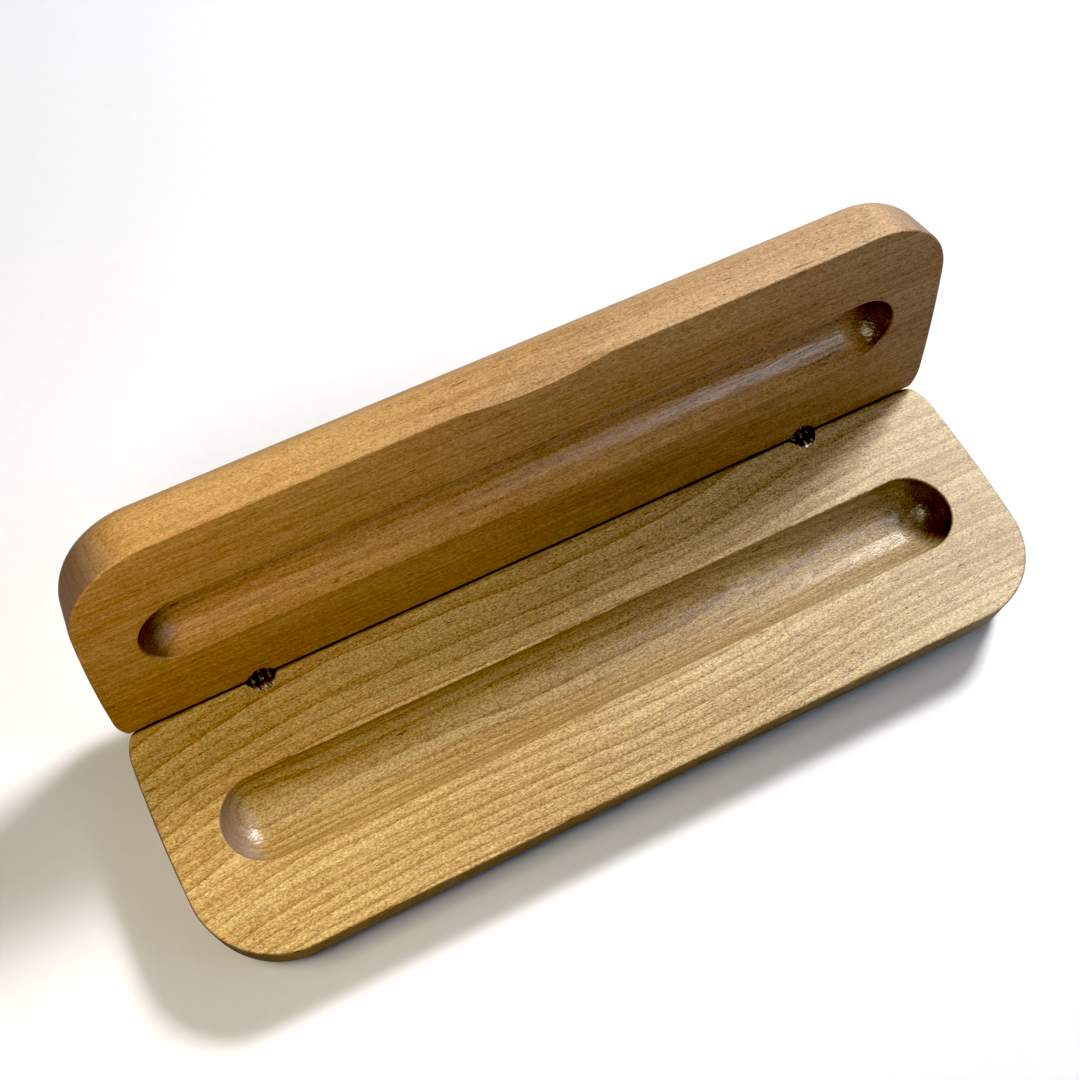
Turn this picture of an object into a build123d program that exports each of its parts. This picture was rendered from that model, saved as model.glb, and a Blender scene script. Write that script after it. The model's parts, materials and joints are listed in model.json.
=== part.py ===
from build123d import *
from math import cos, radians, sin, tan
import os

# Fountain pen case: two wooden halves, each with one half-round pen groove, joined at the
# rear by two double-pin barrel hinges. It stands open, as far as its hinges let it go.
#
# Frame: +X along the case, +Y towards the hinges, +Z up. The origin is the middle of the
# flat underside of the base. Every length is in millimetres.
#
# Each half is drawn in the same "half frame": its origin is the middle of the rear edge of
# the mating face, +Y points to the rear, +Z points out of the mating face, and the wood is
# below it. HALF_TO_BASE and HALF_TO_LID put that frame where the two halves are.

# Wooden halves
LENGTH = 175.0            # corner to corner, before the ends bow out
END_BOW = 1.2             # how far the middle of each end stands out
FACE_DEPTH = 51.2         # front to rear edge of the mating face
REAR_OVERHANG = 4.3       # wood behind the mating face, below the rear bevel
THICKNESS = 14.0          # of one half
FRONT_CORNER = 17.0       # plan radius of the front corners
REAR_CORNER = 10.0        # plan radius of the rear corners
SIDE_DRAFT = 6.0          # degrees that the sides lean in, away from the mating face
OUTER_ROUND = 7.5         # round between the sides and the flat outer face
EDGE_EASE = 0.4           # sanded edge of the mating face and of the groove
REAR_EDGE_ROUND = 2.0     # edge between the mating face and the bevel, so that the halves can roll

# Pen groove
GROOVE_LENGTH = 156.5
GROOVE_RADIUS = 8.4
GROOVE_CENTRE = -25.4     # from the rear edge of the mating face

# Thumb notch: a shallow scoop out of the front edge of the lid
NOTCH_X = 1.0
NOTCH_RADIUS = 73.0
NOTCH_ON_FACE = 1.9       # depth of the scoop across the mating face
NOTCH_ON_SIDE = 3.0       # height of the scoop up the side
NOTCH_TOOL_LENGTH = 40.0

# Hinges
OPEN_ANGLE = 97.8         # between the two mating faces, fully open
HINGE_X = 60.0            # each hinge from the middle of the case
PIN_DEPTH = 2.9           # pin axis below the mating face
CLOSED_GAP = 0.15         # between the mating faces, closed
OPEN_GAP = 0.4            # between the two rear bevels, open
BARREL_RADIUS = 3.175
BARREL_LENGTH = 10.0      # from the pin axis to the blind end
BARREL_HOLE_CLEARANCE = 0.025
BARREL_HOLE_EXTRA = 0.3   # hole deeper than the barrel
PRONG_TIP_RADIUS = 2.75   # round end of the prongs about the pin
SLOT_BOTTOM = 2.9         # pin axis to the bottom of the slots
LEAF = 0.8                # thickness of a link plate
LEAF_GAP = 0.05           # side play of a link plate in its slot
LEAF_PITCH = 1.65         # link plate to link plate
LINK_END_RADIUS = 2.35
LINK_WAIST = 0.3          # front side of a link plate from the line between its pins
PIN_RADIUS = 0.75
PIN_LENGTH = 6.1
PIN_CHAMFER = 0.15
PIN_FIT = 0.015           # radial clearance of the pin in the prongs
PIN_PLAY = 0.04           # radial clearance of the pin in the link plates
GLUE_GROOVES = 3          # rings turned into each barrel, to hold the glue
GLUE_GROOVE_DEPTH = 0.25
GLUE_GROOVE_WIDTH = 0.6

# Worked out from the above
HALF_ANGLE = OPEN_ANGLE / 2
SINE = sin(radians(HALF_ANGLE))
COSINE = cos(radians(HALF_ANGLE))
PIN_SPACING = 2 * PIN_DEPTH + CLOSED_GAP
BARREL_STANDS = (PIN_SPACING - OPEN_GAP) / 2       # pin axis to the bevel, along the barrel
PIN_Y = (PIN_DEPTH * COSINE - BARREL_STANDS) / SINE
REAR_EDGE_Y = (FACE_DEPTH - REAR_OVERHANG) / 2

IN_PLANE = 1e-4           # closer to the mating face than this counts as in it

# The barrel frame has its origin on the pin, +Z along the barrel and out of the bevel.
PIN_IN_HALF = Location((0, PIN_Y, -PIN_DEPTH), (-HALF_ANGLE, 0, 0))
HALF_TO_BASE = Location((0, REAR_EDGE_Y, THICKNESS))
BARREL_TO_BASE = HALF_TO_BASE * PIN_IN_HALF
LINK_END = Location((0, 0, PIN_SPACING))
FACE_TO_FACE = Location((0, 0, 0), (0, 180, 0))
HALF_TO_LID = BARREL_TO_BASE * LINK_END * FACE_TO_FACE * PIN_IN_HALF.inverse()
BARREL_TO_LID = HALF_TO_LID * PIN_IN_HALF

# Signs along X: the two hinges, and the link plates of one hinge from its outer side
SIDES = {"left": -1, "right": 1}
LEAVES = {"outer": -1, "middle": 0, "inner": 1}


def outline(depth):
    """Plan of one half, with the rear overhang, at a depth below the mating face."""
    inset = depth * tan(radians(SIDE_DRAFT))
    half = LENGTH / 2 - inset
    rear = REAR_OVERHANG - inset
    front = -FACE_DEPTH + inset
    middle = (rear + front) / 2
    rear_line = Line((-half, rear), (half, rear))
    right_end = ThreePointArc((half, rear), (half + END_BOW, middle), (half, front))
    front_line = Line((half, front), (-half, front))
    left_end = ThreePointArc((-half, front), (-half - END_BOW, middle), (-half, rear))
    face = make_face(rear_line + right_end + front_line + left_end)
    front_corners = face.vertices().filter_by(lambda v: v.Y < middle)
    face = fillet(front_corners, FRONT_CORNER - inset)
    rear_corners = face.vertices().filter_by(lambda v: v.Y > rear - EDGE_EASE)
    return Pos(0, 0, -depth) * fillet(rear_corners, REAR_CORNER - inset)


def groove():
    """Space of the half-round pen groove with its ball ends, centred on the mating face."""
    straight = GROOVE_LENGTH - 2 * GROOVE_RADIUS
    space = Rot(0, 90, 0) * Cylinder(GROOVE_RADIUS, straight)
    for end in (-1, 1):
        space += Pos(end * straight / 2, 0, 0) * Sphere(GROOVE_RADIUS)
    return Pos(0, GROOVE_CENTRE, 0) * space


def rear_bevel():
    """Everything beyond the bevel plane, which runs through the rear edge of the face."""
    size = 2 * LENGTH
    return Rot(-HALF_ANGLE, 0, 0) * Pos(0, 0, size / 2) * Box(size, size, size)


def rear_edge_waste():
    """What rounding takes off the edge between the mating face and the bevel."""
    half_turn = radians(HALF_ANGLE / 2)
    centre = Pos(0, 0, -REAR_EDGE_ROUND / cos(half_turn))
    chord = REAR_EDGE_ROUND * cos(half_turn)
    size = 2 * REAR_EDGE_ROUND
    strip = Pos(0, 0, chord + size / 2) * Box(2 * LENGTH, size, size)
    rounded = Rot(0, 90, 0) * Cylinder(REAR_EDGE_ROUND, 2 * LENGTH)
    return Rot(-HALF_ANGLE / 2, 0, 0) * centre * (strip - rounded)


def barrel_hole():
    """Hole for one barrel, drilled square to the bevel, in the barrel frame."""
    deep = BARREL_LENGTH + BARREL_HOLE_EXTRA
    tall = deep + PIN_SPACING
    radius = BARREL_RADIUS + BARREL_HOLE_CLEARANCE
    return Pos(0, 0, -deep) * Cylinder(radius, tall, align=(Align.CENTER, Align.CENTER, Align.MIN))


def wooden_half():
    """One half in the half frame, before the thumb notch."""
    wood = loft([outline(THICKNESS), outline(0)], ruled=True)
    wood = fillet(wood.faces().sort_by(Axis.Z)[0].edges(), OUTER_ROUND)
    wood = fillet(wood.faces().sort_by(Axis.Z)[-1].edges(), EDGE_EASE)
    wood -= groove()
    rim = wood.edges().filter_by(lambda e: abs(e.center().Z) < IN_PLANE and on_groove(e))
    wood = fillet(rim, EDGE_EASE)
    wood -= rear_bevel()
    wood -= rear_edge_waste()
    for side in SIDES.values():
        wood -= Pos(side * HINGE_X, 0, 0) * PIN_IN_HALF * barrel_hole()
    return wood


def on_groove(edge):
    """True for an edge in the mating face that bounds the groove."""
    centre = edge.center()
    near_middle = abs(centre.Y - GROOVE_CENTRE) <= GROOVE_RADIUS + EDGE_EASE
    return near_middle and abs(centre.X) <= GROOVE_LENGTH / 2 + EDGE_EASE


def thumb_notch():
    """Scoop across the front corner of the lid, in the half frame."""
    chord = (NOTCH_ON_FACE ** 2 + NOTCH_ON_SIDE ** 2) ** 0.5
    scoop_depth = NOTCH_ON_FACE * NOTCH_ON_SIDE / chord
    outward_y = -NOTCH_ON_SIDE / chord
    outward_z = NOTCH_ON_FACE / chord
    reach = NOTCH_RADIUS - scoop_depth
    axis_point = (-NOTCH_X, -FACE_DEPTH + reach * outward_y, reach * outward_z)
    along_scoop = Plane(origin=axis_point, x_dir=(1, 0, 0), z_dir=(0, outward_z, -outward_y))
    return along_scoop * Cylinder(NOTCH_RADIUS, NOTCH_TOOL_LENGTH)


def barrel():
    """Turned barrel with four prongs, in the barrel frame."""
    wide = 3 * BARREL_RADIUS
    body = Pos(0, 0, -BARREL_LENGTH) * Cylinder(
        BARREL_RADIUS, BARREL_LENGTH + PRONG_TIP_RADIUS, align=(Align.CENTER, Align.CENTER, Align.MIN)
    )
    tip = Rot(0, 90, 0) * Cylinder(PRONG_TIP_RADIUS, 2 * BARREL_RADIUS)
    shank = Pos(0, 0, -BARREL_LENGTH) * Box(
        wide, wide, BARREL_LENGTH, align=(Align.CENTER, Align.CENTER, Align.MIN)
    )
    body &= tip + shank
    slot_height = SLOT_BOTTOM + PIN_SPACING
    for leaf in LEAVES.values():
        body -= Pos(leaf * LEAF_PITCH, 0, -SLOT_BOTTOM) * Box(
            LEAF + 2 * LEAF_GAP, wide, slot_height, align=(Align.CENTER, Align.CENTER, Align.MIN)
        )
    body -= Rot(0, 90, 0) * Cylinder(PIN_RADIUS + PIN_FIT, wide)
    ring_room = BARREL_LENGTH - SLOT_BOTTOM
    for number in range(GLUE_GROOVES):
        height = -SLOT_BOTTOM - ring_room * (number + 1) / (GLUE_GROOVES + 1)
        core = Cylinder(BARREL_RADIUS - GLUE_GROOVE_DEPTH, GLUE_GROOVE_WIDTH)
        ring = Cylinder(2 * BARREL_RADIUS, GLUE_GROOVE_WIDTH) - core
        body -= Pos(0, 0, height) * ring
    return body


def link_plate():
    """Kidney-shaped plate from the base pin to the lid pin, hollow towards the grooves."""
    ends = Rot(0, 90, 0) * Cylinder(LINK_END_RADIUS, LEAF)
    width = LINK_WAIST + LINK_END_RADIUS
    bar = Pos(0, width / 2 - LINK_WAIST, PIN_SPACING / 2) * Box(LEAF, width, PIN_SPACING)
    plate = bar + ends + LINK_END * ends
    hole = Rot(0, 90, 0) * Cylinder(PIN_RADIUS + PIN_PLAY, 2 * LEAF)
    return plate - hole - LINK_END * hole


def hinge_pin():
    """Plain pin along X."""
    pin = Rot(0, 90, 0) * Cylinder(PIN_RADIUS, PIN_LENGTH)
    return chamfer(pin.edges().filter_by(GeomType.CIRCLE), PIN_CHAMFER)


def case_nodes():
    """Every sub-part by name, where it is with the case open."""
    half = wooden_half()
    nodes = {
        "base_block": HALF_TO_BASE * half,
        "lid_block": HALF_TO_LID * (half - thumb_notch()),
    }
    for side, sign in SIDES.items():
        hinge = Pos(sign * HINGE_X, 0, 0)
        nodes[side + "_base_barrel"] = hinge * BARREL_TO_BASE * barrel()
        nodes[side + "_lid_barrel"] = hinge * BARREL_TO_LID * barrel()
        nodes[side + "_base_pin"] = hinge * BARREL_TO_BASE * hinge_pin()
        nodes[side + "_lid_pin"] = hinge * BARREL_TO_LID * hinge_pin()
        for leaf, place in LEAVES.items():
            plate = Pos(-sign * place * LEAF_PITCH, 0, 0) * link_plate()
            nodes[side + "_" + leaf + "_link"] = hinge * BARREL_TO_BASE * plate
    return nodes


os.makedirs("parts", exist_ok=True)
for name, shape in case_nodes().items():
    export_step(shape, "parts/" + name + ".step")

base_pin = BARREL_TO_BASE.position
lid_pin = BARREL_TO_LID.position
print("base pin axis", base_pin)
print("lid pin axis", lid_pin)
print("each pin turns", HALF_ANGLE)
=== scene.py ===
import bpy
import json
from math import cos, pi, radians, sin
from mathutils import Matrix, Vector


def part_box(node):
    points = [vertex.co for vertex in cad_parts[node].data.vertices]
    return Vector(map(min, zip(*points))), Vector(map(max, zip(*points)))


# Looks of the open fountain pen case: two lacquered wooden halves and two small barrel
# hinges, on a pale floor. Lengths are in metres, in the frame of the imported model, except
# where a comment says mm. The wood materials work in mm, in each half's own frame.

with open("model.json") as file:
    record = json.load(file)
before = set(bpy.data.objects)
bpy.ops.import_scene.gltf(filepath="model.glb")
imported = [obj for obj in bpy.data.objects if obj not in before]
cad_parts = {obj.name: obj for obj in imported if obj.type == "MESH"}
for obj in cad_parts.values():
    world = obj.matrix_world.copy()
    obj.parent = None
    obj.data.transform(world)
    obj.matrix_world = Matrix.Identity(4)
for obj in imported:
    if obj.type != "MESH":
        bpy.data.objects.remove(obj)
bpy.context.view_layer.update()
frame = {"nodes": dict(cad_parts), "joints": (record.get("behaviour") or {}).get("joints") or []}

MM = 0.001
FACE_DEPTH = 51.2 * MM      # front to rear edge of a mating face
base_low, base_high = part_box("base_block")
joints = {joint["name"]: joint for joint in frame["joints"]}
base_pin = Vector(joints["left_base_hinge"]["pos_m"])
lid_pin = Vector(joints["lid_hinge"]["pos_m"])
half_angle = radians(joints["lid_hinge"]["range_deg"][1])


# ---------------------------------------------------------------- the two half frames
# Origin at the middle of the rear edge of the mating face, +Y to the rear, +Z out of it.

def base_frame():
    return Matrix.Translation((0, base_low.y + FACE_DEPTH, base_high.z))


def lid_frame():
    """The base's frame carried to the open lid, which is turned about both pins."""
    pin_in_half = base_frame().inverted() @ Vector((0, base_pin.y, base_pin.z))
    turn = Matrix.Rotation(-2 * half_angle, 4, "X") @ Matrix.Rotation(pi, 4, "Y")
    place = Vector((0, lid_pin.y, lid_pin.z)) - turn @ pin_in_half
    return Matrix.Translation(place) @ turn


# ---------------------------------------------------------------- node helpers

# A Mix node has sockets for each type of data, and these are the places of the colour ones.
MIX_AMOUNT = 0
MIX_FIRST = 6
MIX_SECOND = 7
MIX_RESULT = 2


class Nodes:
    """Short ways to add shader nodes to one material and join them up."""

    def __init__(self, name):
        self.material = bpy.data.materials.new(name)
        self.material.use_nodes = True
        self.tree = self.material.node_tree
        self.tree.nodes.clear()

    def add(self, kind, inputs=None, **settings):
        node = self.tree.nodes.new(kind)
        for key, value in settings.items():
            setattr(node, key, value)
        for key, value in (inputs or {}).items():
            self.feed(node.inputs[key], value)
        return node

    def feed(self, socket, value):
        if isinstance(value, bpy.types.NodeSocket):
            self.tree.links.new(value, socket)
        else:
            socket.default_value = value

    def coordinates(self, kind):
        return self.add("ShaderNodeTexCoord").outputs[kind]

    def split(self, vector):
        return self.add("ShaderNodeSeparateXYZ", {0: vector}).outputs

    def math(self, operation, first, second=0.0):
        return self.add("ShaderNodeMath", {0: first, 1: second}, operation=operation).outputs[0]

    def vector_math(self, operation, first, second):
        inputs = {0: first, 1: second}
        return self.add("ShaderNodeVectorMath", inputs, operation=operation).outputs[0]

    def sum(self, *terms):
        total = terms[0]
        for term in terms[1:]:
            total = self.math("ADD", total, term)
        return total

    def product(self, *factors):
        total = factors[0]
        for factor in factors[1:]:
            total = self.math("MULTIPLY", total, factor)
        return total

    def step(self, value, low, high, to_low=0.0, to_high=1.0):
        """Smooth change from to_low to to_high while value goes from low to high."""
        inputs = {"Value": value, "From Min": low, "From Max": high, "To Min": to_low, "To Max": to_high}
        node = self.add("ShaderNodeMapRange", inputs, interpolation_type="SMOOTHSTEP")
        return node.outputs["Result"]

    def mix(self, amount, first, second):
        """First colour where amount is 0, and second where it is 1."""
        inputs = {MIX_AMOUNT: amount, MIX_FIRST: first, MIX_SECOND: second}
        node = self.add("ShaderNodeMix", inputs, data_type="RGBA", clamp_factor=True)
        return node.outputs[MIX_RESULT]

    def scaled(self, colour, amount):
        """Colour made lighter or darker by a number."""
        return self.add("ShaderNodeVectorMath", {0: colour, "Scale": amount}, operation="SCALE").outputs[0]

    def noise(self, point, along, across, detail=2.0, roughness=0.5):
        """Noise about 0, with this many features to a unit of length along X and across it."""
        where = self.vector_math("MULTIPLY", point, (along, across, across))
        inputs = {"Vector": where, "Scale": 1.0, "Detail": detail, "Roughness": roughness}
        node = self.add("ShaderNodeTexNoise", inputs)
        return self.math("SUBTRACT", node.outputs["Fac"], 0.5)

    def bump(self, height, strength, distance):
        inputs = {"Height": height, "Strength": strength, "Distance": distance}
        return self.add("ShaderNodeBump", inputs).outputs[0]

    def finish(self, inputs):
        """Principled surface with these inputs; returns the material."""
        shader = self.add("ShaderNodeBsdfPrincipled", inputs)
        self.add("ShaderNodeOutputMaterial", {"Surface": shader.outputs[0]})
        return self.material


def rgb(red, green, blue):
    return (red, green, blue, 1.0)


# ---------------------------------------------------------------- wood

WOOD_LIGHT = rgb(0.475, 0.328, 0.13)            # honey-coloured, at the left end of the case, where the painted cool light starts
WOOD_MIDDLE = rgb(0.33, 0.19, 0.058)
PAINTED_COOL_LIGHT = rgb(0.50, 0.385, 0.225)            # paler, greyer and bluer at the right end: painted cool light and sheen
PAINTED_COOL_MIDDLE = rgb(0.34, 0.235, 0.125)
WOOD_DARK = rgb(0.12, 0.052, 0.012)             # growth lines
# dark flecks, and the painted seam shade on the bevel behind the hinges
FLECK_AND_SEAM_SHADE_COLOUR = rgb(0.055, 0.022, 0.008)
END_TINT = rgb(0.18, 0.125, 0.095)              # end grain

RING_WIDTH = 1.5                                # mm, from one growth line to the next
GROOVE_CENTRE = -25.4                           # mm, from the rear edge of the mating face
GROOVE_RADIUS = 8.4                             # mm
GROOVE_LENGTH = 156.5                           # mm, with the ball ends
BALL_CENTRE = GROOVE_LENGTH / 2 - GROOVE_RADIUS     # mm, from the middle of the groove
SEED_STEP = (37.0, 11.0, 23.0)                  # mm through the noise from one seed to the next

# The tone goes from the light colour at 0 to the middle one at 1. This much comes from each
# pattern.
PLAIN_TONE = 0.28
BAND_TONE = 0.9
RING_TONE = 0.7
CLOUD_TONE = 1.3
STREAK_TONE = 1.5
FIBRE_TONE = 2.2


def half_point(n, place, half_frame):
    """Place on the object, turned into mm in the half's own frame."""
    to_half = half_frame.inverted()
    inputs = {
        "Vector": place,
        "Location": to_half.to_translation() / MM,
        "Rotation": to_half.to_euler(),
        "Scale": (1 / MM, 1 / MM, 1 / MM),
    }
    return n.add("ShaderNodeMapping", inputs).outputs[0]


def growth_rings(n, point, seeded, pith, swing):
    """Distance from the pith in ring widths, with a sway along the board. Sizes are in mm."""
    x, y, z = n.split(point)
    across = n.math("SUBTRACT", y, pith[0])
    down = n.math("SUBTRACT", z, pith[1])
    radius = n.math("SQRT", n.sum(n.product(across, across), n.product(down, down)))

    wave_crest = -55.0
    wave_period = 120.0
    wave_height = 0.5
    turn = n.product(n.math("SUBTRACT", x, wave_crest), 2 * pi / wave_period)
    wave = n.product(n.math("COSINE", turn), wave_height * swing)

    droop_start = -90.0
    droop_fade = 20.0
    droop_height = 3.2
    fading = n.math("EXPONENT", n.product(n.math("SUBTRACT", x, droop_start), -1 / droop_fade))
    droop = n.product(fading, -droop_height * swing)

    rise_start = 10.0
    rise_end = 95.0
    rise_height = 2.4
    rise = n.step(x, rise_start, rise_end, 0.0, rise_height * swing)

    wander_height = 1.8
    ripple_height = 0.4
    wander = n.product(n.noise(seeded, along=0.02, across=0.05), wander_height * swing)
    ripple = n.product(n.noise(seeded, along=0.09, across=0.3), ripple_height)
    return n.math("DIVIDE", n.sum(radius, wave, droop, rise, wander, ripple), RING_WIDTH)


def ring_shade(n, within, power, fall):
    """Grows through a ring by a power, and falls back to 0 over its last part."""
    return n.product(n.math("POWER", within, power), n.step(within, 1.0, 1.0 - fall))


def growth_marks(n, rings, seeded, along, lines, bands):
    """Shade of late wood, dark lines drawn in it, soft bands, and a random number per ring."""
    within = n.math("FRACT", rings)
    number = n.math("FLOOR", rings)
    ring_random = n.add("ShaderNodeTexWhiteNoise", {"W": number}, noise_dimensions="1D").outputs["Value"]
    late = ring_shade(n, within, power=12.0, fall=0.03)

    # The lines differ from ring to ring, break up, fade here and there, and fade to the right.
    uneven = n.step(ring_random, 0.0, 1.0, 0.6, 1.0)
    broken = n.step(n.noise(seeded, along=0.45, across=1.4), -0.16, 0.10, 0.45, 1.0)
    faded = n.step(n.noise(seeded, along=0.02, across=0.08), -0.16, 0.10, 0.4, 1.0)
    fade_right = n.step(along, -10 * MM, 70 * MM, 1.0, 0.35)
    line = n.product(late, uneven, broken, faded, fade_right, lines)
    band = n.product(ring_shade(n, within, power=3.0, fall=0.1), bands)
    return late, line, band, ring_random


def groove_mask(n, point):
    """1 on the surface of the pen groove and 0 elsewhere. Distances are in mm."""
    x, y, z = n.split(point)
    past_centre = n.math("MAXIMUM", n.math("SUBTRACT", n.math("ABSOLUTE", x), BALL_CENTRE), 0.0)
    aside = n.math("SUBTRACT", y, GROOVE_CENTRE)
    squares = n.sum(n.product(past_centre, past_centre), n.product(aside, aside), n.product(z, z))
    near = n.step(n.math("SQRT", squares), GROOVE_RADIUS + 0.5, GROOVE_RADIUS + 0.2)
    below_face = n.step(z, -0.1, -0.6)
    return n.product(near, below_face)


def bevel_mask(n, point):
    """1 on the bevel that slopes down from the rear edge of the mating face. Distances are in mm."""
    y, z = n.split(point)[1:]
    above_slope = n.sum(n.product(y, sin(half_angle)), n.product(z, cos(half_angle)))
    on_slope = n.step(above_slope, -0.25, -0.1)
    below_face = n.step(z, -0.3, -0.9)
    return n.product(on_slope, below_face)


def end_grain_mask(n):
    """0 where the surface runs along the grain, and near 1 where it faces along X."""
    facing_x = n.math("ABSOLUTE", n.split(n.coordinates("Normal"))[0])
    return n.step(facing_x, 0.15, 0.75, 0.0, 0.9)


def wood(name, half_frame, pith, swing, lines, bands, tint, groove_light_and_shade, end_loss, seed):
    """Lacquered light hardwood, cut from a log whose middle runs along X past the half.

    pith is Y and Z of the middle of the log, in mm, and swing is how much the growth lines
    sway. lines and bands are the strengths of the dark lines and the soft bands. tint
    multiplies the colour, and the groove factor does that in the groove, as painted shade
    below 1 and painted light above 1. end_loss is how much the left and right ends of the
    groove are darkened. seed picks a place in the noise.
    """
    n = Nodes(name)
    place = n.coordinates("Object")
    along = n.split(place)[0]
    to_right = n.step(along, -80 * MM, 90 * MM)
    point = half_point(n, place, half_frame)
    seeded = n.vector_math("ADD", point, [step * seed for step in SEED_STEP])

    # Soft clouds and streaks, and fine fibres, speckle and pores, all longest along X.
    # Their features are counted per mm.
    cloud = n.noise(seeded, along=0.016, across=0.07)
    streak = n.noise(seeded, along=0.02, across=1.1, detail=3.0)
    fibre = n.noise(seeded, along=0.22, across=2.4, detail=3.0, roughness=0.65)
    speckle = n.noise(seeded, along=1.7, across=3.6, roughness=0.8)
    pores = n.step(n.noise(seeded, along=0.95, across=4.2, detail=1.0), 0.09, 0.22)

    rings = growth_rings(n, point, seeded, pith, swing)
    late, line, band, ring_random = growth_marks(n, rings, seeded, along, lines, bands)
    tone = n.sum(
        n.product(band, BAND_TONE),
        n.product(n.math("SUBTRACT", ring_random, 0.5), RING_TONE * bands),
        n.product(cloud, CLOUD_TONE),
        n.product(streak, STREAK_TONE),
        n.product(fibre, FIBRE_TONE),
        PLAIN_TONE,
    )
    # The colour goes from the warm left end to the paler, bluer right end: painted warm and cool light and
    # sheen along the case.
    light = n.mix(to_right, WOOD_LIGHT, PAINTED_COOL_LIGHT)
    middle = n.mix(to_right, WOOD_MIDDLE, PAINTED_COOL_MIDDLE)
    colour = n.mix(line, n.mix(tone, light, middle), WOOD_DARK)
    colour = n.vector_math("MULTIPLY", colour, tint)

    # Speckle is stronger in wood with strong bands, and pores darken the pale right end.
    speckle_depth = 1.2 + 1.8 * bands
    pore_depth = 0.5
    grit = n.sum(1.0, n.product(speckle, speckle_depth), n.product(pores, to_right, -pore_depth))
    colour = n.scaled(colour, grit)

    # The groove's colour is multiplied by a factor of its own, which paints shade where it is below 1 and
    # light where it is above 1.
    in_groove = groove_mask(n, point)
    colour = n.scaled(colour, n.sum(1.0, n.product(in_groove, groove_light_and_shade - 1.0)))

    # Sparse dark flecks.
    fleck_depth = 0.8
    fleck_noise = n.noise(seeded, along=0.17, across=1.35, detail=1.0)
    fleck = n.product(n.step(fleck_noise, 0.245, 0.285), fleck_depth)
    colour = n.mix(fleck, colour, FLECK_AND_SEAM_SHADE_COLOUR)

    # End grain is darker and greyer than the rest. The ends of the grooves are darkened
    # further, in place of a shadow.
    end_line_depth = 0.8
    end_speckle = 1.2
    left_loss = n.step(along, -30 * MM, -70 * MM, 0.0, end_loss[0])
    right_loss = n.step(along, 30 * MM, 70 * MM, 0.0, end_loss[1])
    loss = n.product(n.sum(left_loss, right_loss), in_groove, -1.0)
    end_colour = n.mix(n.product(late, end_line_depth), END_TINT, WOOD_DARK)
    end_colour = n.scaled(end_colour, n.sum(1.0, n.product(speckle, end_speckle), loss))
    colour = n.mix(end_grain_mask(n), colour, end_colour)

    # The bevel behind the hinges is painted near black as shade in the seam, and has no lacquer.
    shaded_bevel = bevel_mask(n, point)
    shaded_bevel_depth = 0.85
    colour = n.mix(n.product(shaded_bevel, shaded_bevel_depth), colour, FLECK_AND_SEAM_SHADE_COLOUR)

    # The lacquer is glossy in the groove and thin elsewhere.
    lacquered = n.math("SUBTRACT", 1.0, shaded_bevel)
    thin = 0.05
    gloss = n.sum(thin, n.product(in_groove, 1.0 - thin))
    lacquer_waves = n.noise(seeded, along=0.25, across=1.3)

    height = n.sum(fibre, speckle, n.product(line, -0.5), n.product(fleck, -1.0))
    coat_height = n.sum(n.product(fibre, 0.6), n.product(lacquer_waves, 1.6))
    return n.finish({
        "Base Color": colour,
        "Roughness": n.step(speckle, -0.2, 0.2, 0.42, 0.56),
        "Normal": n.bump(height, strength=0.5, distance=0.06 * MM),
        "Specular IOR Level": 0.3,
        "Coat Weight": n.product(lacquered, gloss),
        "Coat Roughness": 0.22,
        "Coat Normal": n.bump(coat_height, strength=1.0, distance=0.1 * MM),
    })


# ---------------------------------------------------------------- metal

def metal(name, bright, dull, smoothest, roughest):
    """Metal with bright and dull patches and fine scratches."""
    n = Nodes(name)
    place = n.coordinates("Object")
    film = n.noise(place, along=900, across=900, detail=4.0, roughness=0.6)
    scratch = n.noise(place, along=5000, across=700, roughness=0.6)
    return n.finish({
        "Base Color": n.mix(n.step(film, -0.15, 0.15), bright, dull),
        "Metallic": 1.0,
        "Roughness": n.step(scratch, -0.2, 0.2, smoothest, roughest),
        "Normal": n.bump(scratch, strength=0.2, distance=0.02 * MM),
    })


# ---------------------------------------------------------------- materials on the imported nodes

def dress(node_name, material):
    """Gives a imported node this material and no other."""
    mesh = frame["nodes"][node_name].data
    mesh.materials.clear()
    mesh.materials.append(material)


base_wood = wood(
    "base_wood",
    base_frame(),
    pith=(41.0, -97.0),
    swing=1.0,
    lines=1.2,
    bands=1.0,
    tint=(0.94, 0.97, 1.0),
    # painted shade in the base's groove
    groove_light_and_shade=0.88,
    end_loss=(0.0, 0.85),
    seed=1.0,
)
lid_wood = wood(
    "lid_wood",
    lid_frame(),
    pith=(-150.0, -20.0),
    swing=0.2,
    lines=0.3,
    bands=0.45,
    tint=(0.87, 0.76, 0.74),
    # painted light in the lid's groove
    groove_light_and_shade=1.12,
    end_loss=(0.55, 0.85),
    seed=2.0,
)
dark_brass = metal("dark_brass", rgb(0.42, 0.32, 0.20), rgb(0.12, 0.09, 0.06), 0.22, 0.40)
bright_brass = metal("bright_brass", rgb(0.92, 0.80, 0.56), rgb(0.62, 0.48, 0.30), 0.18, 0.36)
steel = metal("steel", rgb(0.62, 0.60, 0.57), rgb(0.35, 0.33, 0.31), 0.2, 0.36)

dress("base_block", base_wood)
dress("lid_block", lid_wood)
for node in frame["nodes"]:
    if node.endswith("_pin"):
        dress(node, steel)
    elif node.endswith("_link"):
        dress(node, bright_brass)
    elif node.endswith("_barrel"):
        dress(node, dark_brass)


# ---------------------------------------------------------------- floor

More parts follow.
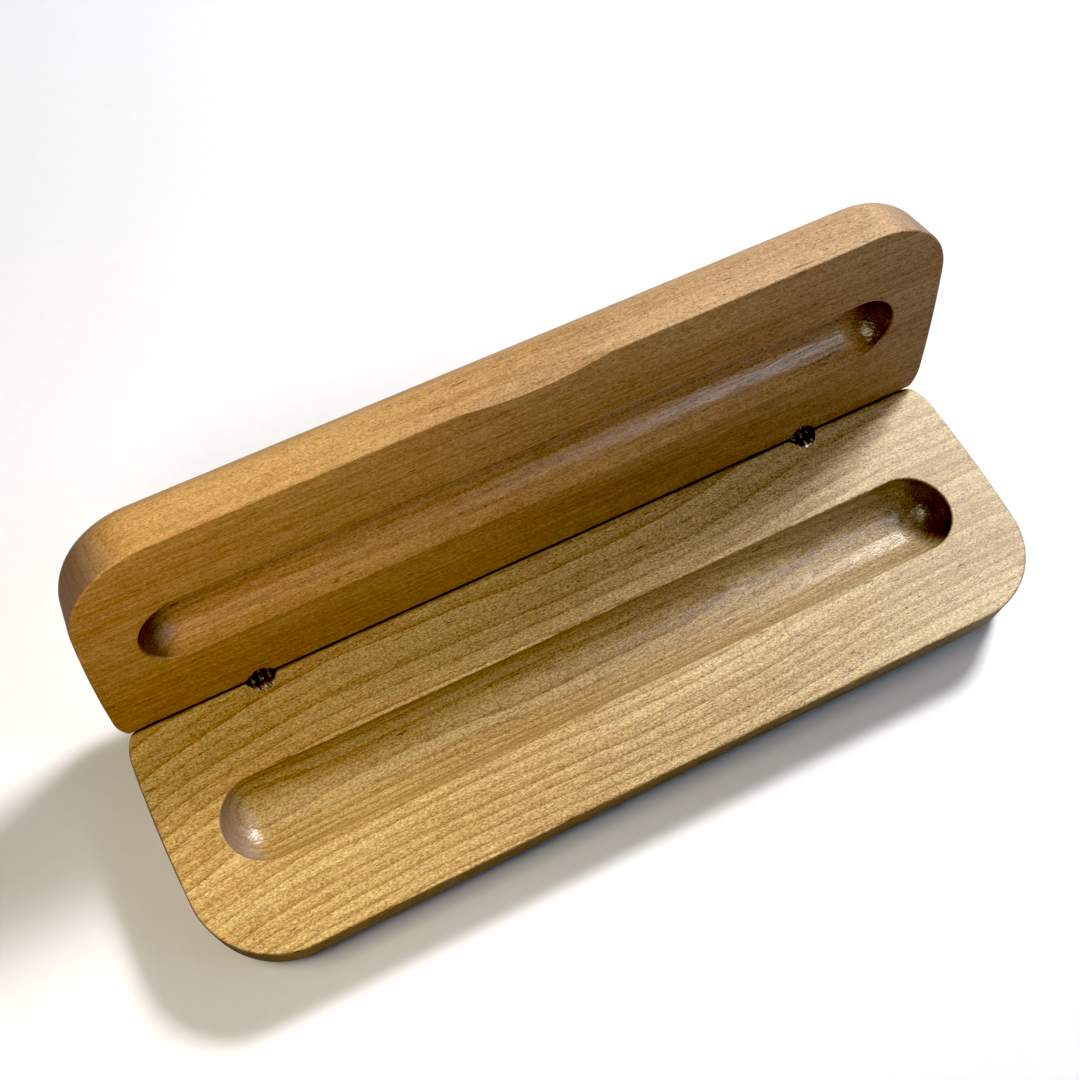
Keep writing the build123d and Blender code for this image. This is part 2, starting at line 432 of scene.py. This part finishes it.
PALE = rgb(0.86, 0.86, 0.87)
FLOOR_BOUNCE = rgb(0.34, 0.33, 0.32)        # what the floor reflects onto the case
FLOOR_SEEN = rgb(0.73, 0.745, 0.79)
FLOOR_SEEN_LIGHT = rgb(0.76, 0.775, 0.82)
FLOOR_REACH = 4.0                           # from the middle to an edge
GLOW_START = 0.2                            # from the middle
GLOW_FULL = 0.9


def floor_material():
    """Pale floor that bounces less light than it shows.

    Far from the case, where little light falls, it glows as pale as the world.
    """
    n = Nodes("pale_floor")
    place = n.coordinates("Object")
    grain = n.noise(place, along=400, across=400, detail=3.0)
    colour = n.mix(n.sum(grain, 0.5), FLOOR_SEEN, FLOOR_SEEN_LIGHT)
    seen = n.add("ShaderNodeLightPath").outputs["Is Camera Ray"]
    colour = n.mix(seen, FLOOR_BOUNCE, colour)
    away = n.add("ShaderNodeVectorMath", {0: place}, operation="LENGTH").outputs["Value"]
    return n.finish({
        "Base Color": colour,
        "Roughness": 0.9,
        "Specular IOR Level": 0.1,
        "Emission Color": PALE,
        "Emission Strength": n.step(away, GLOW_START, GLOW_FULL),
    })


def make_floor():
    reach = FLOOR_REACH
    corners = [(-reach, -reach, 0), (reach, -reach, 0), (reach, reach, 0), (-reach, reach, 0)]
    mesh = bpy.data.meshes.new("floor")
    mesh.from_pydata(corners, [], [(0, 1, 2, 3)])
    mesh.materials.append(floor_material())
    floor = bpy.data.objects.new("floor", mesh)
    bpy.context.scene.collection.objects.link(floor)


make_floor()


# ---------------------------------------------------------------- light

AIM = Vector((0, 0, 20 * MM))       # the point on the case that the lights face

# Name, azimuth from +X towards +Y and elevation in degrees, distance, size, watts and colour.
LIGHTS = [
    ("key", 29, 44, 0.9, 0.17, 11.6, (1.0, 0.98, 0.95)),
    ("left_fill", 193, 48, 0.2, 0.06, 0.235, (1.0, 0.85, 0.62)),
    ("window", -42, 51, 0.47, 0.14, 0.34, (0.66, 0.80, 1.0)),
    ("low_right", 0, 25, 0.9, 0.25, 0.8, (1.0, 0.9, 0.8)),
    ("ceiling", 0, 90, 1.3, 0.8, 0.4, (0.85, 0.92, 1.0)),
]


def area_light(name, azimuth, elevation, distance, size, power, colour):
    """Square soft light that shines on the case."""
    light = bpy.data.lights.new(name, "AREA")
    light.shape = "SQUARE"
    light.size = size
    light.energy = power
    light.color = colour
    lamp = bpy.data.objects.new(name, light)
    turn = Matrix.Rotation(radians(azimuth), 3, "Z") @ Matrix.Rotation(radians(-elevation), 3, "Y")
    toward = turn @ Vector((1, 0, 0))
    lamp.location = AIM + distance * toward
    lamp.rotation_euler = toward.to_track_quat("Z", "Y").to_euler()
    bpy.context.scene.collection.objects.link(lamp)


def make_world():
    """Pale to look at, but a weak light on the case."""
    strength_on_case = 0.015
    strength_seen = 1.0
    world = bpy.data.worlds.new("studio")
    world.use_nodes = True
    tree = world.node_tree
    background = tree.nodes["Background"]
    background.inputs["Color"].default_value = PALE
    seen = tree.nodes.new("ShaderNodeMapRange")
    seen.inputs["To Min"].default_value = strength_on_case
    seen.inputs["To Max"].default_value = strength_seen
    tree.links.new(tree.nodes.new("ShaderNodeLightPath").outputs["Is Camera Ray"], seen.inputs["Value"])
    tree.links.new(seen.outputs["Result"], background.inputs["Strength"])
    bpy.context.scene.world = world


for light_values in LIGHTS:
    area_light(*light_values)
make_world()


# ---------------------------------------------------------------- camera

CAMERA_PLACE = Vector((-0.0809, -0.1141, 0.3235))
CAMERA_HEADING = radians(-30.21)     # from +Y towards -X
CAMERA_DOWN = radians(62.33)         # below the horizon
CAMERA_ROLL = radians(3.30)
CAMERA_LENS = 58.85                  # mm
SENSOR_WIDTH = 36.0                  # mm
NEAREST_SEEN = 0.01
BLACK_LEVEL = 0.035


def make_camera():
    data = bpy.data.cameras.new("camera")
    data.sensor_width = SENSOR_WIDTH
    data.lens = CAMERA_LENS
    data.clip_start = NEAREST_SEEN
    camera = bpy.data.objects.new("camera", data)
    camera.location = CAMERA_PLACE
    turn = Matrix.Rotation(CAMERA_HEADING, 4, "Z")
    tilt = Matrix.Rotation(pi / 2 - CAMERA_DOWN, 4, "X")
    roll = Matrix.Rotation(CAMERA_ROLL, 4, "Z")
    camera.rotation_euler = (turn @ tilt @ roll).to_euler()
    bpy.context.scene.collection.objects.link(camera)
    bpy.context.scene.camera = camera


def deep_shadows():
    """Plain colours, with the darkest tones taken down to black."""
    view = bpy.context.scene.view_settings
    view.view_transform = "Standard"
    view.look = "None"
    view.use_curve_mapping = True
    view.curve_mapping.black_level = (BLACK_LEVEL, BLACK_LEVEL, BLACK_LEVEL)
    view.curve_mapping.update()


make_camera()
deep_shadows()
